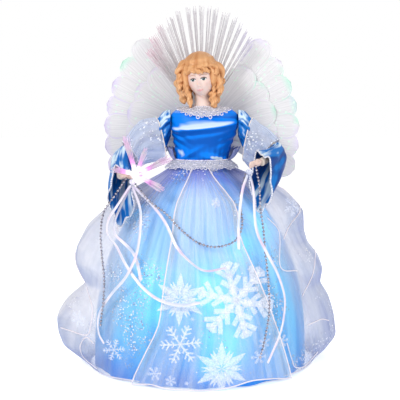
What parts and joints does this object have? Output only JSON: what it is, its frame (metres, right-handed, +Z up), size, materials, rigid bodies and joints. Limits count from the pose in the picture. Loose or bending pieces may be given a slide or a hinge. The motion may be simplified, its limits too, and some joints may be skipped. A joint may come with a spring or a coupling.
{
  "type": "angel tree topper",
  "caption": "Angel tree topper with a satin and organza skirt over a moulded cone, fibre optic halo and bouquet, layered film wings, curled hair, bell sleeves, bead strands and ribbons.",
  "frame": {"origin": "on the resting plane at the axis of the skirt cone", "axes": "+Z up through the head to the halo, front of the angel towards -Y, her right hand with the bouquet towards -X"},
  "size_m": [0.3162, 0.2222, 0.407],
  "materials": {
    "moulded_cone": "matt moulded white",
    "blue_satin": "glossy woven satin, lit from inside on the skirt",
    "organza": "sheer woven organza",
    "lamp_lens": "clear lens",
    "ferrule": "turned",
    "optical_fibre": "clear polished strands",
    "cell_jacket": "plain printed steel can",
    "spring_contact": "nickel plated",
    "skin": "matt painted skin tone",
    "stuffed_arm": "woven over wadding",
    "doll_hair": "moulded curls, satin",
    "silver_lace": "metallic thread lace",
    "wing_film": "iridescent film",
    "silver_beads": "plated beads on a thread",
    "pearl_ribbon": "iridescent woven ribbon"
  },
  "bodies": {
    "figure": {"inner_cone": "moulded_cone", "light_plate": "moulded_cone", "tree_socket": "moulded_cone", "battery_box": "moulded_cone", "torso_core": "moulded_cone", "wing_card": "moulded_cone", "satin_skirt": "blue_satin", "bodice": "blue_satin", "organza_apron": "organza", "organza_flounce_left": "organza", "organza_flounce_right": "organza", "skirt_lamp_1": "lamp_lens", "skirt_lamp_2": "lamp_lens", "skirt_lamp_3": "lamp_lens", "skirt_lamp_4": "lamp_lens", "fibre_lamp": "lamp_lens", "fibre_ferrule": "ferrule", "halo_fibres": "optical_fibre", "battery_cell_1": "cell_jacket", "battery_cell_2": "cell_jacket", "battery_cell_3": "cell_jacket", "battery_contacts_left": "spring_contact", "battery_contacts_right": "spring_contact", "head": "skin", "hair": "doll_hair", "collar_lace": "silver_lace", "waist_lace": "silver_lace", "wing_middle_left": "wing_film", "wing_middle_right": "wing_film", "wing_outer_left": "wing_film", "wing_outer_right": "wing_film"},
    "left_arm": {"arm_left": "stuffed_arm", "puff_sleeve_left": "blue_satin", "organza_sleeve_left": "organza", "bell_sleeve_left": "blue_satin", "hand_left": "skin", "ribbon_knot_left": "pearl_ribbon", "bouquet_fibres": "optical_fibre", "bead_strand_left": "silver_beads", "bead_swag_left": "silver_beads", "ribbon_left_1": "pearl_ribbon", "ribbon_left_2": "pearl_ribbon", "ribbon_left_3": "pearl_ribbon", "ribbon_left_4": "pearl_ribbon"},
    "right_arm": {"arm_right": "stuffed_arm", "puff_sleeve_right": "blue_satin", "organza_sleeve_right": "organza", "bell_sleeve_right": "blue_satin", "hand_right": "skin", "ribbon_knot_right": "pearl_ribbon", "bead_swag_right": "silver_beads", "bead_strand_right": "silver_beads", "ribbon_right_1": "pearl_ribbon", "ribbon_right_2": "pearl_ribbon"},
    "battery_door": {"battery_door": "moulded_cone"},
    "switch_knob": {"switch_knob": "moulded_cone"}
  },
  "joints": [
    {"name": "left_shoulder", "type": "hinge", "parent": "figure", "child": "left_arm", "pos_m": [-0.0333, 0, 0.276], "axis": [-1, 0, 0], "range_deg": [0, 20]},
    {"name": "right_shoulder", "type": "hinge", "parent": "figure", "child": "right_arm", "pos_m": [0.0433, 0, 0.276], "axis": [-1, 0, 0], "range_deg": [0, 20]},
    {"name": "door_hinge", "type": "hinge", "parent": "figure", "child": "battery_door", "pos_m": [0, 0.0693, 0.0235], "axis": [1, 0, 0], "range_deg": [0, 90]},
    {"name": "switch_slide", "type": "slide", "parent": "figure", "child": "switch_knob", "axis": [0, 0, 1], "range_m": [0, 0.004]}
  ]
}
